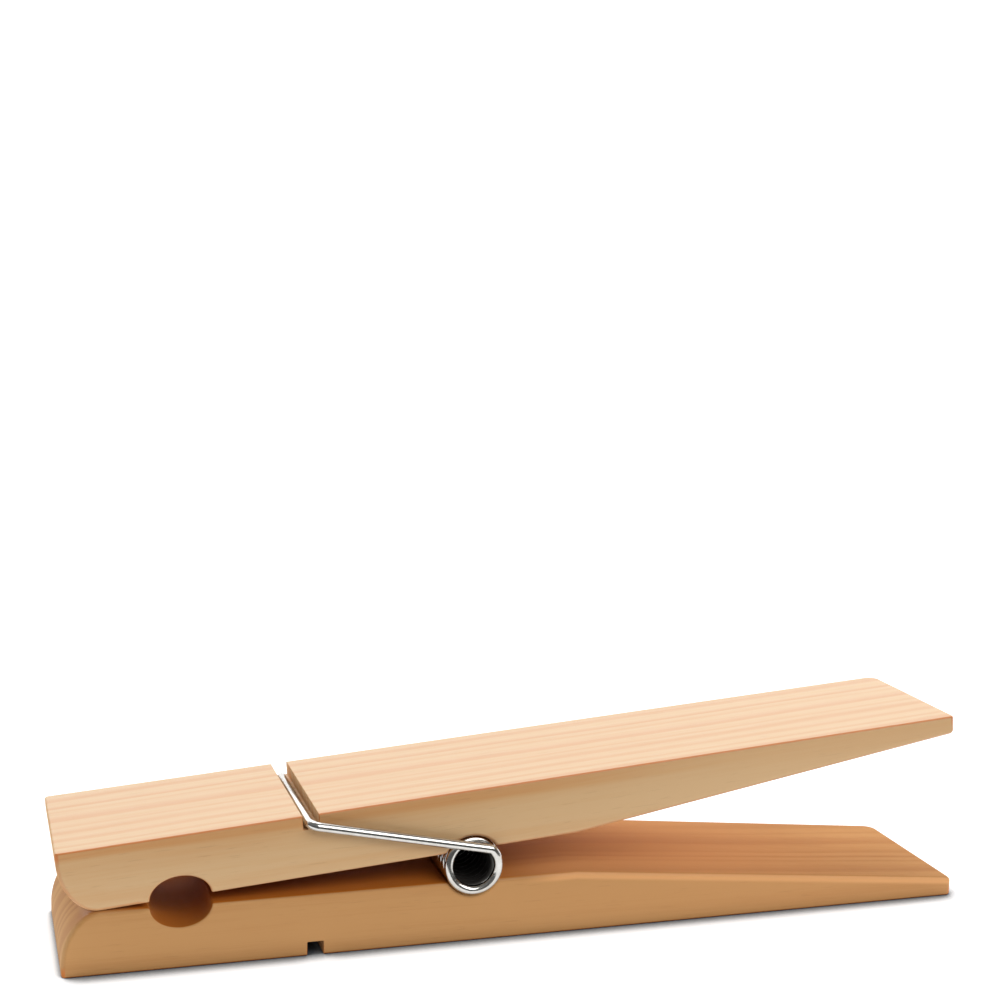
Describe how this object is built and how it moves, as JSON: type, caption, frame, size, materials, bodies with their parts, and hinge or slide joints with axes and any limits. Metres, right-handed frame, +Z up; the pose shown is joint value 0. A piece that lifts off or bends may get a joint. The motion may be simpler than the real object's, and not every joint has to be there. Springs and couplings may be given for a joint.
{
  "type": "clothespin",
  "caption": "Large wooden spring clothespin: two pine legs with a half-round line hole, held together by a wire torsion spring whose arms sit in grooves.",
  "frame": {"origin": "under the middle of the pin's bounding box, on the surface that the lower leg's outer face lies on", "axes": "+X along the pin from the jaw to the handles, +Y across its width, +Z up from the lower leg to the upper leg"},
  "size_m": [0.2298, 0.0486, 0.0486],
  "materials": {
    "leg_wood": "sanded bare pine, straight grain, no varnish",
    "spring_wire": "bright plated spring wire"
  },
  "bodies": {
    "lower_leg": {"lower_leg": "leg_wood", "spring_lower_arm": "spring_wire"},
    "upper_leg": {"upper_leg": "leg_wood", "spring_upper_arm": "spring_wire"},
    "spring_coil": {"spring_coil": "spring_wire"}
  },
  "joints": [
    {"name": "jaw_opening", "type": "hinge", "parent": "lower_leg", "child": "upper_leg", "pos_m": [-0.01668, 0, 0.01886], "axis": [0, 1, 0], "range_deg": [0, 16.7], "stiffness_Nm_per_rad": 0.36, "springref_deg": -171.89},
    {"name": "coil_winding", "type": "hinge", "parent": "lower_leg", "child": "spring_coil", "pos_m": [-0.01668, 0, 0.01886], "axis": [0, 1, 0], "range_deg": [0, 8.35]}
  ],
  "couplings": [
    {"joint": "coil_winding", "follows": "jaw_opening", "ratio": 0.5}
  ]
}
